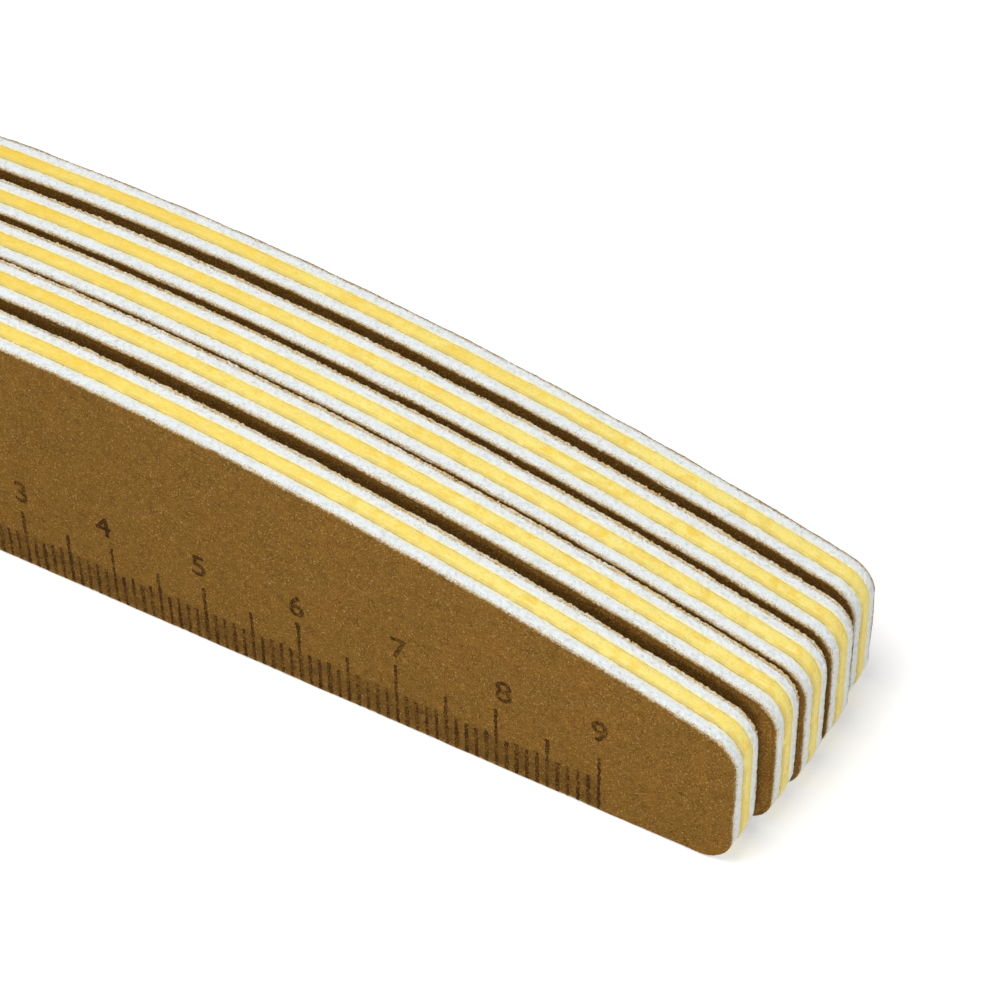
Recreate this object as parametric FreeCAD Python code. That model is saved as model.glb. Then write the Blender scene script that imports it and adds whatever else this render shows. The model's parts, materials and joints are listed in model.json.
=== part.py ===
import FreeCAD, Part
import math
import os

# A row of five half-moon emery boards, each standing on its straight edge.
# X runs along the boards, Y from the front board to the rear one, and Z is up.
# The origin is under the middle of the row, on the surface that it stands on.
# All lengths are in millimetres.

# Outline of one board: straight below, one long arc above, rounded at both ends
board_length = 178.0
end_height = 13.95  # where the long arc would meet the end if the corner were sharp
arc_rise = 12.7  # the middle of the long arc stands this much above its ends
top_corner_radius = 3.5
foot_corner_radius = 3.5

# Layers of one board, from a face to its middle
abrasive_thickness = 0.2
sheet_glue_thickness = 0.05
foam_thickness = 1.09
core_glue_thickness = 0.05
core_thickness = 1.45

# The core stands out to the full outline, and the other layers end inside it
sheet_setback = 0.05
foam_setback = 0.12
glue_setback = 0.2

# Air between neighbouring boards in the row
front_to_second_gap = 1.25
second_to_middle_gap = 0.25
middle_to_fourth_gap = 0.75
fourth_to_rear_gap = 1.2

# How far each board stands out to the right of the front one
second_board_shift = 0.9
middle_board_shift = 1.3
fourth_board_shift = 1.3
rear_board_shift = 0.7

# Each layer: its name, its thickness and how far its edge is set back
LAYERS = [
    ("front_abrasive_sheet", abrasive_thickness, sheet_setback),
    ("front_sheet_glue", sheet_glue_thickness, glue_setback),
    ("front_foam_pad", foam_thickness, foam_setback),
    ("front_core_glue", core_glue_thickness, glue_setback),
    ("core_board", core_thickness, 0),
    ("rear_core_glue", core_glue_thickness, glue_setback),
    ("rear_foam_pad", foam_thickness, foam_setback),
    ("rear_sheet_glue", sheet_glue_thickness, glue_setback),
    ("rear_abrasive_sheet", abrasive_thickness, sheet_setback),
]

# Each board: its name, the air in front of it and its place along the row
BOARDS = [
    ("front_board", 0, 0),
    ("second_board", front_to_second_gap, second_board_shift),
    ("middle_board", second_to_middle_gap, middle_board_shift),
    ("fourth_board", middle_to_fourth_gap, fourth_board_shift),
    ("rear_board", fourth_to_rear_gap, rear_board_shift),
]


def point(x, z):
    """A point in the plane of the boards' outline."""
    return FreeCAD.Vector(x, 0, z)


def around(centre, radius, direction):
    """The point at a radius from a centre, along a direction."""
    return centre + FreeCAD.Vector(direction).normalize() * radius


def mirrored(place):
    """The same point at the left end."""
    return FreeCAD.Vector(-place.x, place.y, place.z)


def corner(start, middle, end):
    """A rounded corner of the outline, and its twin at the left end."""
    right = Part.Arc(start, middle, end).toShape()
    left = Part.Arc(mirrored(start), mirrored(middle), mirrored(end)).toShape()
    return [right, left]


def outline(setback):
    """The face of one board, drawn in by a setback all the way round."""
    half_length = board_length / 2
    arc_radius = (half_length**2 + arc_rise**2) / (2 * arc_rise)
    arc_centre = point(0, end_height + arc_rise - arc_radius)

    # The top corner's circle touches the square end and the long arc
    top_across = half_length - top_corner_radius
    top_reach = arc_radius - top_corner_radius
    top_centre = point(top_across, arc_centre.z + math.sqrt(top_reach**2 - top_across**2))
    foot_centre = point(half_length - foot_corner_radius, foot_corner_radius)

    outward = FreeCAD.Vector(1, 0, 0)
    downward = FreeCAD.Vector(0, 0, -1)
    along_arc = (top_centre - arc_centre).normalize()
    top_radius = top_corner_radius - setback
    foot_radius = foot_corner_radius - setback

    crest = around(arc_centre, arc_radius - setback, -downward)
    arc_end = around(top_centre, top_radius, along_arc)
    top_middle = around(top_centre, top_radius, along_arc + outward)
    end_top = around(top_centre, top_radius, outward)
    end_foot = around(foot_centre, foot_radius, outward)
    foot_middle = around(foot_centre, foot_radius, outward + downward)
    base_end = around(foot_centre, foot_radius, downward)

    edges = [
        Part.Arc(mirrored(arc_end), crest, arc_end).toShape(),
        Part.LineSegment(end_top, end_foot).toShape(),
        Part.LineSegment(mirrored(end_top), mirrored(end_foot)).toShape(),
        Part.LineSegment(base_end, mirrored(base_end)).toShape(),
    ]
    edges += corner(arc_end, top_middle, end_top)
    edges += corner(end_foot, foot_middle, base_end)
    return Part.Face(Part.Wire(Part.__sortEdges__(edges)))


def layer(thickness, setback, place):
    """One layer of a board, a flat sheet with its front face at a place."""
    sheet = outline(setback).extrude(FreeCAD.Vector(0, thickness, 0))
    sheet.translate(place)
    return sheet


def main():
    os.makedirs("parts", exist_ok=True)
    board_thickness = sum(thickness for _, thickness, _ in LAYERS)
    row_depth = sum(board_thickness + gap for _, gap, _ in BOARDS)
    shifts = [shift for _, _, shift in BOARDS]
    row_middle = (min(shifts) + max(shifts)) / 2

    y = -row_depth / 2
    for board, gap, shift in BOARDS:
        y += gap
        for name, thickness, setback in LAYERS:
            sheet = layer(thickness, setback, FreeCAD.Vector(shift - row_middle, y, 0))
            sheet.exportStep(f"parts/{board}_{name}.step")
            y += thickness


main()
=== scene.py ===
import json
import math

import bmesh
import bpy
from bpy.props import FloatProperty, FloatVectorProperty, IntProperty, PointerProperty
from mathutils import Matrix, Vector


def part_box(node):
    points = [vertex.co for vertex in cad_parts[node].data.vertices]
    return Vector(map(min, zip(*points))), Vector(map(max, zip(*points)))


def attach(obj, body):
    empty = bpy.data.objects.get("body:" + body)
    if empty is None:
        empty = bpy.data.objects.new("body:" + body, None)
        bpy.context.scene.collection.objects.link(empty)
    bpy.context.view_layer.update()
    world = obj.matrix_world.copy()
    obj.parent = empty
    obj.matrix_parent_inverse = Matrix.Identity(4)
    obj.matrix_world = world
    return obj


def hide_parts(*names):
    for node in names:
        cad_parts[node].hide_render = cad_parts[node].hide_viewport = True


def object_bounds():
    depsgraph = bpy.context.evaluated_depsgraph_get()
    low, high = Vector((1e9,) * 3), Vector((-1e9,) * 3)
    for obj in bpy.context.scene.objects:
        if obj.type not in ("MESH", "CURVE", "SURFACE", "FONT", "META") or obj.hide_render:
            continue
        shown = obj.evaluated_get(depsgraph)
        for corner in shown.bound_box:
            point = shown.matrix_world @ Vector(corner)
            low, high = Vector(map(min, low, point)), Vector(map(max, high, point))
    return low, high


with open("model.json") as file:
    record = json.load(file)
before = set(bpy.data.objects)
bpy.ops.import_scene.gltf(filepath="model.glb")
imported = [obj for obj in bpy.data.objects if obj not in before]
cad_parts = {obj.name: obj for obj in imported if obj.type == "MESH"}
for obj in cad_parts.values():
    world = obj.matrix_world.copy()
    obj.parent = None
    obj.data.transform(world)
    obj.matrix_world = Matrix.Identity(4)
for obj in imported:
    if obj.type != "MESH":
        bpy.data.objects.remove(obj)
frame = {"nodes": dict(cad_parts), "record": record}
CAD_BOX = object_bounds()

bl_info = {
    "name": "Emery board row",
    "version": (1, 0, 0),
    "blender": (4, 5, 0),
    "location": "View3D > Sidebar > Emery",
    "description": "Dresses a row of half-moon emery boards: foam, cores, grit sheets and a ruler print",
    "category": "Object",
}

MM = 0.001
CENTIMETRE = 10 * MM
SQUARE_MM = MM * MM
BOARDS = list(frame["record"]["behaviour"]["bodies"])
RULER_BOARD = BOARDS[0]
SIDES = ("front", "rear")
OUTWARD = {"front": -1.0, "rear": 1.0}
OUTER = "outer"
ALONG = "along"
# Seeds set aside for each board, and where those of its core and of its sheets start
BOARD_SEEDS = 10
CORE_SEED = 5
SHEET_SEED = 7
# Levels between which noise mostly stays
NOISE_LOW = 0.32
NOISE_HIGH = 0.68
# Quick waves between the layers as a share of the slow ones
QUICK_WAVES = 0.4
# How closely a layer's rounding keeps to its borders; more is closer
BORDER_POWER = 5.0
# Share of the core's thickness that the die rolls over
ROLL_SHARE = 0.3
# Shares of the fray that are left on the lower edges and at the inner end of the rim
LOWER_FRAY = 0.4
RIM_FRAY = 0.3
# Height of a grain as a share of its width, and the least grain and crumb as shares of the largest
GRAIN_RISE = 0.2
LEAST_GRAIN = 0.35
LEAST_CRUMB = 0.4
# Ticks to a centimetre, points up a tick, and how much the length and the width of a tick vary
CENTIMETRE_TICKS = 10
TICK_POINTS = 32
TICK_LENGTHS = (0.93, 1.05)
TICK_WIDTHS = (0.8, 1.2)
# How far the sides of a tick wander, as a share of its width
TICK_WANDER = 1.6
# Height of a digit as a share of its font size
DIGIT_SHARE = 0.73
# Share of a sheet's band that is its cut edge; the rest is its worn rim
EDGE_SHARE = 0.55
# Scale of the burrs' pattern across the core's edge; less than 1 draws the burrs out
CORE_STRETCH = 0.3
# Scale of the strokes' pattern along the core's edge; less than 1 draws the strokes out
STROKE_STRETCH = 0.14
# Points nearer than this are one point where a ring closes
SEAM = 0.002 * MM
# Distances from the row between which the floor gains its far lift
FLOOR_NEAR = 200 * MM
FLOOR_FAR = 600 * MM
# The camera sees nothing nearer than this
CLIP_START = 10 * MM
# The print is uneven: millimetres that a digit stands to the right of its tick
DIGIT_DRIFT = {3: 0.25, 4: -0.6, 5: -0.25, 7: 0.4, 8: 0.8}
# Points of a digit that are nearer than this are one point
DIGIT_SEAM = 0.0005 * MM
# A face of a digit is one of its walls if its normal rises less than this
WALL_RISE = 0.5
# Less than this would move the tip of a sharp corner too far
LEAST_CORNER = 0.5


# Settings that a user would change


def length(name, description, millimetres):
    """A size in the sidebar, shown with its unit."""
    return FloatProperty(
        name=name,
        description=description,
        default=millimetres * MM,
        unit="LENGTH",
        subtype="DISTANCE",
        precision=5,
    )


def whole(name, description, value, least):
    """A whole number in the sidebar."""
    return IntProperty(name=name, description=description, default=value, min=least)


def position(name, description, millimetres):
    """A point of the row's frame in the sidebar."""
    return FloatVectorProperty(
        name=name,
        description=description,
        default=tuple(value * MM for value in millimetres),
        subtype="TRANSLATION",
        unit="LENGTH",
    )


def colour(name, description, value):
    """A colour in the sidebar."""
    return FloatVectorProperty(
        name=name, description=description, default=(*value, 1.0), size=4, min=0.0, max=1.0, subtype="COLOR"
    )


def angle(name, description, degrees):
    """An angle in the sidebar."""
    return FloatProperty(name=name, description=description, default=math.radians(degrees), subtype="ANGLE")


def number(name, description, value):
    """A plain number in the sidebar."""
    return FloatProperty(name=name, description=description, default=value)


class EmeryShape(bpy.types.PropertyGroup):
    """Outline of a board and the roughness of its cut edges."""

    end_height: length("End height", "Where the long arc would meet the end if the corner were sharp", 13.95)
    top_corner: length("Top corner", "Radius of the upper corners", 3.5)
    foot_corner: length("Foot corner", "Radius of the lower corners", 3.5)
    arc_step: length("Arc step", "Distance between points on the outline's arcs", 0.4)
    edge_step: length("Edge step", "Distance between points along a cut edge", 0.17)
    foam_rows: whole("Foam rows", "Points across a foam edge", 8, 2)
    core_rows: whole("Core rows", "Points across a core edge", 8, 2)
    sheet_rows: whole("Sheet rows", "Points across a sheet edge and its rim", 8, 2)
    foam_setback: length("Foam setback", "How far the foam's cut edge starts inside the core's", 0.03)
    foam_rounding: length("Foam rounding", "How far the foam draws in where it meets its neighbours", 0.04)
    foam_coarse: length("Foam waves", "Depth of the slow waves in the cut foam", 0.05)
    foam_fine: length("Foam pores", "Depth of the pores in the cut foam", 0.09)
    core_roll: length("Core roll", "How far the die rolls the core's front edge over", 0.03)
    core_rounding: length("Core rounding", "How far the core draws in where it meets its neighbours", 0.06)
    core_coarse: length("Core waves", "Depth of the slow waves in the cut core", 0.06)
    core_fine: length("Core burrs", "Depth of the burrs across the cut core", 0.03)
    front_roll: length("Front roll", "How far the die rolls the front sheet's edge over", 0.05)
    rear_roll: length("Rear roll", "How far the rear sheet's edge is rolled over", 0.02)
    front_fray: length("Front fray", "Depth of the fray along the front sheet", 0.07)
    rear_burr: length("Rear burr", "How far the rear sheet's edge stands out of the core's", 0.17)
    rear_fray: length("Rear fray", "Depth of the fray along the rear sheet, where the die comes out", 0.28)
    sheet_coarse: length("Sheet waves", "Depth of the slow waves in the cut sheets", 0.16)
    sheet_wave: length("Sheet wave size", "Length of the slow waves in the cut sheets", 5.0)
    drag: length("Drag", "How far the die drags the edges of the inner layers to the rear", 0.07)
    layer_wave: length("Layer waves", "How far the borders between the layers wander", 0.16)
    layer_wave_size: length("Layer wave size", "Length of the waves between the layers", 6.0)
    rim: length("Rim", "Width of the worn rim on the face of a sheet", 0.4)
    coarse_size: length("Wave size", "Length of the slow waves", 1.8)
    fine_size: length("Fine size", "Size of the pores and burrs", 0.26)
    fray_size: length("Fray size", "Length of the steps in the frayed sheets", 0.32)
    grit_coat: length("Grit coat", "Thickness of the sheet that is grains and not paper", 0.025)
    grain_size: length("Grain size", "Width of the largest grain", 0.12)
    grain_density: number("Grains", "Grains on a square millimetre", 2.5)
    inner_grain_density: number("Inner grains", "Grains on a square millimetre inside the row", 0.9)
    crumb_size: length("Crumb size", "Width of the largest crumb on the cut edges", 0.28)
    crumb_rise: length("Crumb rise", "How far the middle of a crumb may stand out of the cut edge", 0.05)
    crumb_step: length("Crumb step", "Distance between the places where a crumb may cling", 0.12)
    crumb_clump: length("Crumb clumps", "Size of the clumps of crumbs", 3.0)
    crumb_foot: length("Crumb foot", "Height above the straight edge from which crumbs cling", 3.0)


class EmeryRuler(bpy.types.PropertyGroup):
    """The printed centimetre ruler on the front sheet."""

    zero: length("Zero", "Place of the zero tick, from the middle of the board", -13.68)
    centimetres: whole("Centimetres", "Length of the ruler", 9, 1)
    long_tick: length("Centimetre tick", "Height of the centimetre ticks", 7.1)
    half_tick: length("Half tick", "Height of the half-centimetre ticks", 6.0)
    short_tick: length("Millimetre tick", "Height of the millimetre ticks", 3.9)
    tick_width: length("Tick width", "Width of a tick", 0.34)
    tick_wobble: length("Tick wobble", "Size of the steps in a tick's ragged sides", 0.2)
    tick_rise: length("Tick rise", "Start of the ticks above the straight edge", 0.2)
    digit_height: length("Digit height", "Height of the digits", 2.5)
    digit_rise: length("Digit rise", "Foot of the first digit above the straight edge", 7.7)
    digit_slope: number("Digit slope", "Rise of the row of digits along the ruler", 0.01)
    digit_weight: length("Digit weight", "How much the digits' strokes are thickened", 0.05)
    smudge: number("Smudge", "Share of the ink that is smeared between the ticks", 0.42)
    smear_end: length("Smear end", "Distance over which the smear fades beyond the ruler's ends", 0.4)
    smear_top: length("Smear top", "How far the smear reaches above the millimetre ticks", 0.3)
    smear_fade: length("Smear fade", "Distance over which the smear fades at its top", 0.9)
    ink: length("Ink", "Thickness of the printed ink", 0.012)


class EmeryFinish(bpy.types.PropertyGroup):
    """Colours of the boards and the sizes of their patterns."""

    grit: colour("Grit", "Main colour of the grit face", (0.198, 0.099, 0.0172))
    # In the coat this dark colour is painted shade in the hollows between grains; the crumbs use it for real
    # dark specks of grit
    grit_dark: colour("Dark grit", "Hollows between the grains", (0.08, 0.036, 0.005))
    # The plain sheets inside the row lean to this colour as painted shade; elsewhere it marks warmer patches
    # of the coat
    grit_red: colour("Red grit", "Patches where the coat is warmer", (0.25, 0.11, 0.017))
    grit_light: colour("Light grit", "Grains that catch the light", (0.4, 0.24, 0.07))
    paper: colour("Paper", "Cut edge of the sheet's paper backing", (0.66, 0.53, 0.29))
    crumb: colour("Crumb", "Crumbs of paper and grit on the edges", (0.62, 0.43, 0.16))
    foam: colour("Foam", "White cushion foam", (0.83, 0.87, 0.875))
    # The grey of the pores is painted shade in the cut cells of the foam
    foam_pore: colour("Foam pore", "Pores in the cut foam", (0.56, 0.58, 0.57))
    core: colour("Core", "Yellow plastic core", (0.98, 0.8, 0.19))
    core_deep: colour("Deep core", "Amber patches of the core", (0.95, 0.64, 0.065))
    core_pale: colour("Pale core", "Scraped patches of the core", (0.98, 0.88, 0.4))
    # The colour that the core's front border is darkened to, and the colour of its dull specks
    core_edge: colour("Core edge", "Front border of the core, stained by glue", (0.7, 0.55, 0.16))
    glue: colour("Glue", "Dried adhesive film against the core", (0.72, 0.5, 0.13))
    glue_pale: colour("Pale glue", "Dried adhesive film under the sheets", (0.72, 0.68, 0.58))
    ink: colour("Ink", "Ruler print", (0.04, 0.017, 0.0035))
    foam_lumps: length("Foam lumps", "Size of the lumps in the cut foam", 0.45)
    foam_cells: length("Foam cells", "Size of the foam's cells", 0.3)
    foam_border: length("Foam border", "Size of the tongues of yellow in the foam", 0.22)
    foam_dust: length("Foam dust", "Size of the specks of grit on the foam beside a sheet", 0.14)
    foam_relief: length("Foam relief", "Height of the foam's fine relief", 0.08)
    core_strokes: length("Core strokes", "Width of the strokes that the die leaves along the core", 0.16)
    core_specks: length("Core specks", "Size of the dull specks of the core", 0.24)
    core_blotches: length("Core blotches", "Size of the amber blotches of the core", 1.3)
    core_patches: length("Core patches", "Size of the slow changes of the core's colour", 9.0)
    core_clear: length("Core clear", "Place along the row where the core has least amber", 70.0)
    core_amber: length("Core amber", "Place along the row where the core has most amber", -10.0)
    core_relief: length("Core relief", "Height of the core's fine relief", 0.06)
    grit_grains: length("Grit grains", "Size of the grains of the coat", 0.11)
    grit_tufts: length("Grit tufts", "Size of the groups of grains", 0.7)
    grit_patches: length("Grit patches", "Size of the slow changes of the coat's colour", 4.0)
    grit_flecks: length("Grit flecks", "Size of the grains that catch the light", 0.13)
    grit_relief: length("Grit relief", "Height of the plain coat's fine relief", 0.1)
    ruled_relief: length("Ruled relief", "Height of the ruled coat's fine relief", 0.07)
    grain_tones: length("Grain tones", "Distance over which single grains change in tone", 0.3)
    paper_specks: length("Paper specks", "Size of the specks where paper passes into the coat", 0.25)
    paper_patches: length("Paper patches", "Size of the bare patches of the paper", 0.6)
    paper_relief: length("Paper relief", "Height of the cut paper's fine relief", 0.06)
    crumb_tones: length("Crumb tones", "Distance over which crumbs change in tone", 0.35)
    glue_tones: length("Glue tones", "Distance over which the glue on a core changes in tone", 0.8)
    pale_glue_tones: length("Pale glue tones", "Distance over which the glue under a sheet changes", 0.6)
    ink_breaks: length("Ink breaks", "Size of the breaks in the ink", 0.16)
    ink_wear: length("Ink wear", "Size of the worn patches of the ink", 1.1)
    ink_clouds: length("Ink clouds", "Size of the clouds of smeared ink", 0.7)


class EmeryStage(bpy.types.PropertyGroup):
    """Camera, lamps and floor."""

    azimuth: angle("Azimuth", "Direction of the camera round the row", 31.481)
    elevation: angle("Elevation", "Height of the camera above the horizon", 42.957)
    roll: angle("Roll", "Turn of the camera about its line of sight", -1.144)
    distance: length("Distance", "Camera to the point that it looks at", 235.13)
    aim: position("Aim", "Point that the camera looks at, in the row's frame", (66.36, -12.02, 31.38))
    lens: number("Lens", "Focal length in millimetres on a 36 mm sensor", 107.6)
    sky: number("Sky", "Strength of the even light from all round", 0.45)
    key: number("Key", "Power of the large lamp above the front, in watts", 1.55)
    key_size: length("Key size", "Width of the large lamp", 300.0)
    key_place: position("Key place", "Where the large lamp hangs", (-20.0, -160.0, 500.0))
    fill: number("Fill", "Power of the low lamp at the right, in watts", 0.17)
    fill_size: length("Fill size", "Width of the low lamp", 100.0)
    fill_place: position("Fill place", "Where the low lamp stands", (150.0, -200.0, 70.0))
    floor_size: length("Floor size", "Side of the floor", 3000.0)
    floor: colour("Floor", "Pale floor", (0.9, 0.9, 0.9))
    floor_lift: number("Floor lift", "Extra white of the floor in the picture", 0.28)
    far_lift: number("Far lift", "More of it far from the row, where the lamps do not reach", 0.5)


# Node trees


def add_node(tree, kind, settings=None, **inputs):
    """Adds a node; an input takes a socket, a value, or a list for sockets that share a name."""
    node = tree.nodes.new(kind)
    for key, value in (settings or {}).items():
        setattr(node, key, value)
    for key, value in inputs.items():
        label = key.replace("_", " ")
        sockets = [socket for socket in node.inputs if socket.enabled and socket.name == label]
        values = value if isinstance(value, list) else [value]
        for socket, item in zip(sockets, values, strict=False):
            if isinstance(item, bpy.types.NodeSocket):
                tree.links.new(item, socket)
            elif item is not None:
                socket.default_value = item
    return node


def out(node, name=None):
    """The node's first live output, or the one with a name."""
    return next(socket for socket in node.outputs if socket.enabled and name in (None, socket.name))


def maths(tree, operation, *values):
    """A Math node's result."""
    return out(add_node(tree, "ShaderNodeMath", {"operation": operation}, Value=list(values)))


def vector_maths(tree, operation, *values):
    """A Vector Math node's vector result."""
    node = add_node(tree, "ShaderNodeVectorMath", {"operation": operation}, Vector=list(values))
    return out(node, "Vector")


def scaled(tree, vector, factor):
    """A vector times a number."""
    node = add_node(tree, "ShaderNodeVectorMath", {"operation": "SCALE"}, Vector=vector, Scale=factor)
    return out(node, "Vector")


def axis(tree, vector, name):
    """One coordinate of a vector."""
    return out(add_node(tree, "ShaderNodeSeparateXYZ", Vector=vector), name)


def joined(tree, **coordinates):
    """A vector from its coordinates; those left out are zero."""
    return out(add_node(tree, "ShaderNodeCombineXYZ", **coordinates))


def outward_of(tree, tangent):
    """The way out of an outline, square to its tangent."""
    return vector_maths(tree, "NORMALIZE", vector_maths(tree, "CROSS_PRODUCT", (0, 1, 0), tangent))


def random_value(tree, low, high, seed):
    """A random value for each point."""
    settings = {"data_type": "FLOAT"}
    return out(add_node(tree, "FunctionNodeRandomValue", settings, Min=low, Max=high, Seed=seed))


def stored(tree, geometry, name, value):
    """Geometry that keeps a value on its points."""
    return out(add_node(tree, "GeometryNodeStoreNamedAttribute", Geometry=geometry, Name=name, Value=value))


def attribute(tree, name):
    """A value that a mesh keeps on its points."""
    node = add_node(tree, "ShaderNodeAttribute", {"attribute_type": "GEOMETRY", "attribute_name": name})
    return out(node, "Fac")


def noise(tree, place, size, seed=0.0, detail=2.0):
    """Noise from 0 to 1 whose lumps have a size in metres."""
    inputs = {"Vector": place, "W": seed, "Scale": maths(tree, "DIVIDE", 1.0, size), "Detail": detail}
    return out(add_node(tree, "ShaderNodeTexNoise", {"noise_dimensions": "4D"}, **inputs))


def ramp(tree, value, low, high):
    """A value spread from 0 at one level to 1 at another."""
    return out(add_node(tree, "ShaderNodeMapRange", Value=value, From_Min=low, From_Max=high))


def chosen(tree, switch, usual, other):
    """One value, or another where a switch is on."""
    node = add_node(tree, "GeometryNodeSwitch", {"input_type": "FLOAT"}, Switch=switch)
    tree.links.new(usual, node.inputs["False"])
    tree.links.new(other, node.inputs["True"])
    return out(node)


def geometry_tree(name, inputs):
    """An empty Geometry Nodes tree and its named inputs."""
    tree = bpy.data.node_groups.new(name, "GeometryNodeTree")
    tree.interface.new_socket("Geometry", in_out="INPUT", socket_type="NodeSocketGeometry")
    for label, kind in inputs.items():
        tree.interface.new_socket(label, in_out="INPUT", socket_type=f"NodeSocket{kind}")
    tree.interface.new_socket("Geometry", in_out="OUTPUT", socket_type="NodeSocketGeometry")
    return tree, tree.nodes.new("NodeGroupInput").outputs


def finish_tree(tree, geometry, material):
    """Ends a tree in plain geometry with a material."""
    real = add_node(tree, "GeometryNodeRealizeInstances", Geometry=geometry)
    painted = add_node(tree, "GeometryNodeSetMaterial", Geometry=out(real), Material=material)
    add_node(tree, "NodeGroupOutput", Geometry=out(painted))


def band(tree, given):
    """A grid to bend round the outline: its mesh, share across, and each point's place and way outward."""
    path = add_node(tree, "GeometryNodeMeshToCurve", Mesh=given["Geometry"])
    perimeter = out(add_node(tree, "GeometryNodeCurveLength", Curve=out(path)))
    count = maths(tree, "CEIL", maths(tree, "DIVIDE", perimeter, given["Step"]))
    grid = add_node(tree, "GeometryNodeMeshGrid", Vertices_X=count, Vertices_Y=given["Rows"])
    along_across = out(grid, "UV Map")
    factor = axis(tree, along_across, "X")
    spot = add_node(tree, "GeometryNodeSampleCurve", {"mode": "FACTOR"}, Curves=out(path), Factor=factor)
    outward = outward_of(tree, out(spot, "Tangent"))
    marked = stored(tree, out(grid, "Mesh"), ALONG, maths(tree, "MULTIPLY", factor, perimeter))
    return marked, axis(tree, along_across, "Y"), out(spot, "Position"), outward


def kept_inside(tree, given, place):
    """A place, moved into the box that the tree is given if it lies outside."""
    return vector_maths(tree, "MINIMUM", vector_maths(tree, "MAXIMUM", place, given["Low"]), given["High"])


def bend(tree, given, grid, place, outward, inward, outer):
    """Draws the grid's points in, keeps how near they are to the outer side, and closes the ring."""
    moved = kept_inside(tree, given, vector_maths(tree, "SUBTRACT", place, scaled(tree, outward, inward)))
    shaped = add_node(tree, "GeometryNodeSetPosition", Geometry=grid, Position=moved)
    marked = stored(tree, out(shaped), OUTER, outer)
    ring = add_node(tree, "GeometryNodeMergeByDistance", Geometry=marked, Distance=SEAM)
    finish_tree(tree, out(ring), given["Material"])


def rough(tree, place, size, seed, depth):
    """Noise that reaches from nothing to a full depth."""
    return maths(tree, "MULTIPLY", ramp(tree, noise(tree, place, size, seed), NOISE_LOW, NOISE_HIGH), depth)


def added(tree, *values):
    """The sum of several values."""
    total = values[0]
    for value in values[1:]:
        total = maths(tree, "ADD", total, value)
    return total


CUT_INPUTS = {
    "Thickness": "Float",
    "Outward": "Float",
    "Step": "Float",
    "Rows": "Int",
    "Coarse Depth": "Float",
    "Coarse Size": "Float",
    "Fine Depth": "Float",
    "Fine Size": "Float",
    "Seed": "Float",
    "Low": "Vector",
    "High": "Vector",
    "Material": "Material",
}


def cut_edge_tree():
    """A band that follows an outline across a thick layer, waved and pitted as a die leaves it."""
    tree, given = geometry_tree(
        "Cut edge",
        {
            "Front": "Float",
            "Rounding": "Float",
            "Roll": "Float",
            "Stretch": "Float",
            "Drag": "Float",
            "Wave": "Float",
            "Wave Size": "Float",
            "Outer Hold": "Float",
            **CUT_INPUTS,
        },
    )
    grid, across, spot, outward = band(tree, given)
    outer = maths(tree, "MULTIPLY_ADD", maths(tree, "SUBTRACT", across, 0.5), given["Outward"], 0.5)
    depth = maths(tree, "MULTIPLY_ADD", across, given["Thickness"], given["Front"])
    still = vector_maths(tree, "ADD", spot, joined(tree, Y=depth))

    # The die drags the layers to the rear by more or less, and a sheet holds the foam where they meet
    slow = maths(tree, "SUBTRACT", noise(tree, still, given["Wave Size"], seed=20.0), 0.5)
    quick = maths(tree, "SUBTRACT", noise(tree, still, given["Coarse Size"], seed=21.0), 0.5)
    waves = maths(tree, "MULTIPLY", maths(tree, "MULTIPLY_ADD", quick, QUICK_WAVES, slow), given["Wave"])
    loose = maths(tree, "SUBTRACT", 1.0, maths(tree, "MULTIPLY", outer, given["Outer Hold"]))
    rearward = maths(tree, "MULTIPLY", maths(tree, "ADD", waves, given["Drag"]), loose)
    place = vector_maths(tree, "ADD", still, joined(tree, Y=rearward))

    # Borders draw in, waves and pits cut into the edge, and nothing stands out of it
    stretch = joined(tree, X=1.0, Y=given["Stretch"], Z=1.0)
    grain = vector_maths(tree, "MULTIPLY", place, stretch)
    aside = maths(tree, "ABSOLUTE", maths(tree, "MULTIPLY_ADD", across, 2.0, -1.0))
    border = maths(tree, "POWER", aside, BORDER_POWER)
    rolled = maths(tree, "POWER", ramp(tree, across, ROLL_SHARE, 0.0), 2.0)
    inward = added(
        tree,
        maths(tree, "MULTIPLY", border, given["Rounding"]),
        maths(tree, "MULTIPLY", rolled, given["Roll"]),
        rough(tree, place, given["Coarse Size"], given["Seed"], given["Coarse Depth"]),
        rough(tree, grain, given["Fine Size"], given["Seed"], given["Fine Depth"]),
    )
    bend(tree, given, grid, place, outward, inward, outer)
    return tree


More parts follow.
